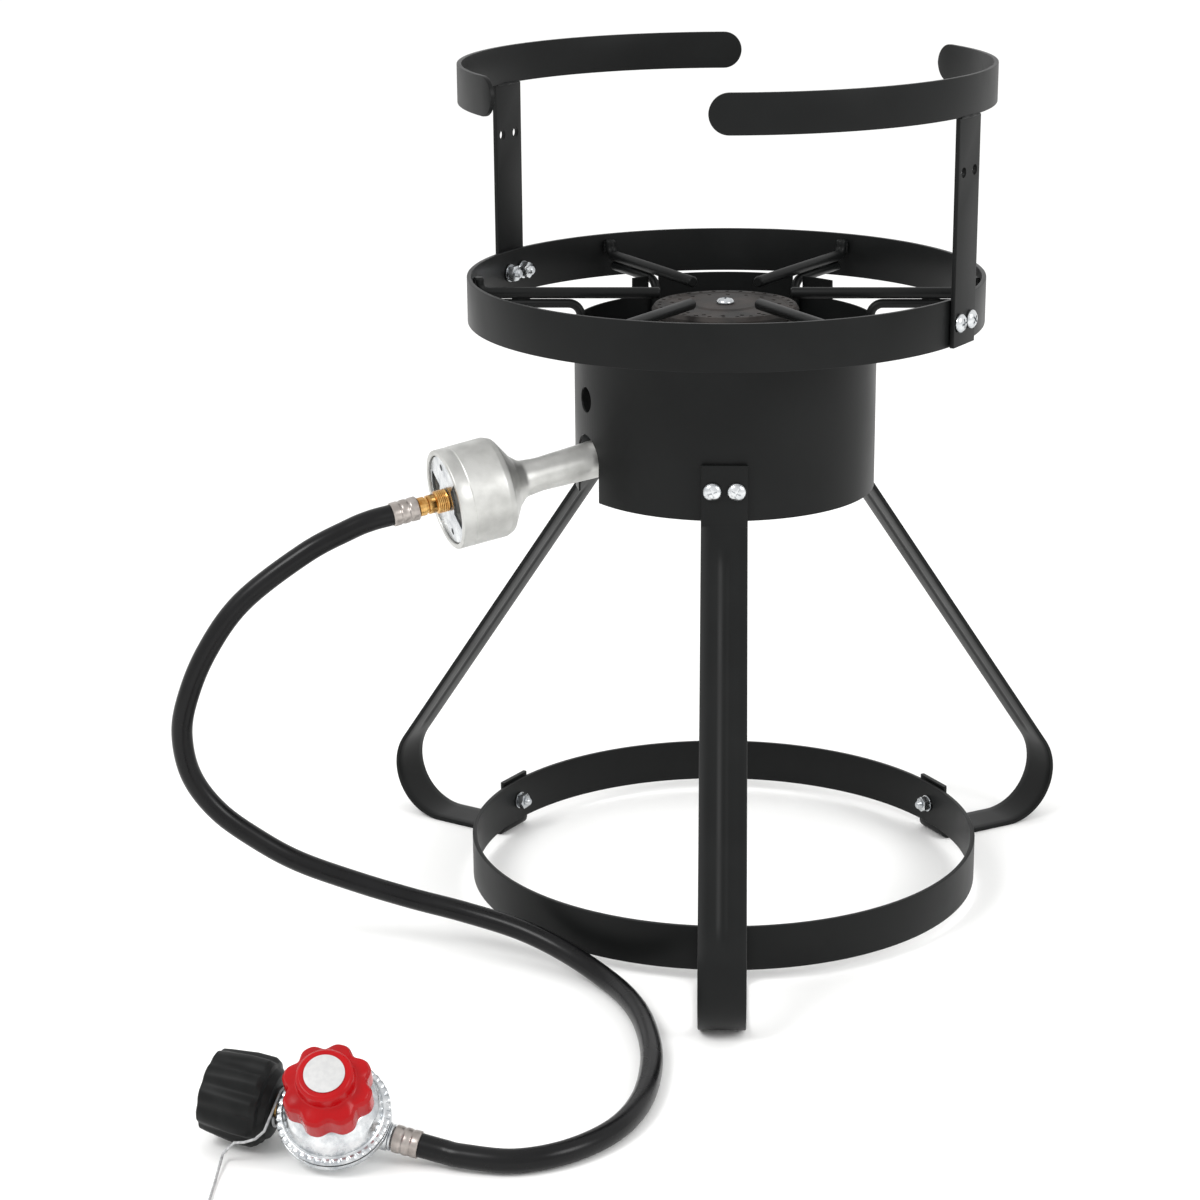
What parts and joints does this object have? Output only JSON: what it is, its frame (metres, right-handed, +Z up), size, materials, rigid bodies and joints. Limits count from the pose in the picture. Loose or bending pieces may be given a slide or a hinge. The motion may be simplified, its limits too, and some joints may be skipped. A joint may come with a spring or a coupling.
{
  "type": "propane burner stand",
  "caption": "Round-ringed three-legged stand carrying a wind-guarded gas burner, pot bars and pot guards, fed by a hose from a knob-set regulator with a cylinder nut.",
  "frame": {"origin": "on the ground, under the middle of the stand's footprint (the box around everything but the hose, the regulator and what is on them)", "axes": "+Z up; the front leg points along -Y and the burner's axis stands at x = 0, y = 0.04875; the air inlet and the regulator are on the -X side"},
  "size_m": [0.5995, 0.6553, 0.568],
  "materials": {
    "black_coat": "satin black powder coat",
    "zinc": "bright zinc plate",
    "cast_aluminium": "matt sand-cast aluminium",
    "cast_iron": "matt, heat-darkened",
    "brass": "machined",
    "hose_rubber": "smooth gloss black cover",
    "red_plastic": "gloss red moulding",
    "label_paper": "blank white disc",
    "black_plastic": "matt black moulding",
    "spring_steel": "plain wire",
    "seal_rubber": "matt",
    "nylon": "grey translucent cord"
  },
  "bodies": {
    "stand": {"lower_ring": "black_coat", "top_ring": "black_coat", "leg_front": "black_coat", "leg_right": "black_coat", "leg_left": "black_coat", "guard_post_right": "black_coat", "guard_post_left": "black_coat", "guard_arm_right": "black_coat", "guard_arm_left": "black_coat", "wind_guard": "black_coat", "burner_bridge": "black_coat", "pot_bar_1": "black_coat", "pot_bar_2": "black_coat", "pot_bar_3": "black_coat", "pot_bar_4": "black_coat", "pot_bar_5": "black_coat", "pot_bar_6": "black_coat", "guard_hanger_1": "black_coat", "guard_hanger_2": "black_coat", "guard_hanger_3": "black_coat", "guard_hanger_4": "black_coat", "guard_hanger_5": "black_coat", "guard_hanger_6": "black_coat", "leg_bolt_front_a": "zinc", "leg_bolt_front_b": "zinc", "leg_bolt_right_a": "zinc", "leg_bolt_right_b": "zinc", "leg_bolt_left_a": "zinc", "leg_bolt_left_b": "zinc", "foot_bolt_front": "zinc", "foot_bolt_right": "zinc", "foot_bolt_left": "zinc", "guard_bolt_right_a": "zinc", "guard_bolt_right_b": "zinc", "guard_bolt_left_a": "zinc", "guard_bolt_left_b": "zinc", "burner_screw": "zinc", "hose_ferrule_burner": "zinc", "regulator_body": "zinc", "regulator_bonnet": "zinc", "regulator_outlet": "zinc", "hose_ferrule_regulator": "zinc", "venturi_tube": "cast_aluminium", "burner_bowl": "cast_iron", "burner_cap": "cast_iron", "orifice_fitting": "brass", "inlet_nipple": "brass", "diaphragm": "seal_rubber", "inlet_seal": "seal_rubber", "regulator_spring": "spring_steel", "hose": "hose_rubber", "tag_tie": "nylon"},
    "air_shutter": {"air_shutter": "zinc"},
    "spring_plate": {"spring_plate": "zinc"},
    "regulator_knob": {"regulator_knob": "red_plastic", "knob_label": "label_paper", "adjusting_screw": "zinc"},
    "tank_nut": {"tank_nut": "black_plastic"}
  },
  "joints": [
    {"name": "air_shutter_turn", "type": "hinge", "parent": "stand", "child": "air_shutter", "pos_m": [-0.18038, -0.0346, 0.2965], "axis": [-0.8965, -0.4143, -0.157], "range_deg": [0, 90]},
    {"name": "spring_plate_slide", "type": "slide", "parent": "stand", "child": "spring_plate", "axis": [0, -0.5976, 0.8018], "range_m": [0, 0.00375]},
    {"name": "knob_turn", "type": "hinge", "parent": "spring_plate", "child": "regulator_knob", "pos_m": [-0.218, -0.3578, 0.0194], "axis": [0, -0.5976, 0.8018], "range_deg": [0, 1080]},
    {"name": "tank_nut_spin", "type": "hinge", "parent": "stand", "child": "tank_nut", "pos_m": [-0.26619, -0.34712, 0.02736], "axis": [-0.9638, 0.2137, 0.1593], "continuous": true}
  ],
  "couplings": [
    {"joint": "knob_turn", "follows": "spring_plate_slide", "rad_per_m": 5026.5}
  ]
}
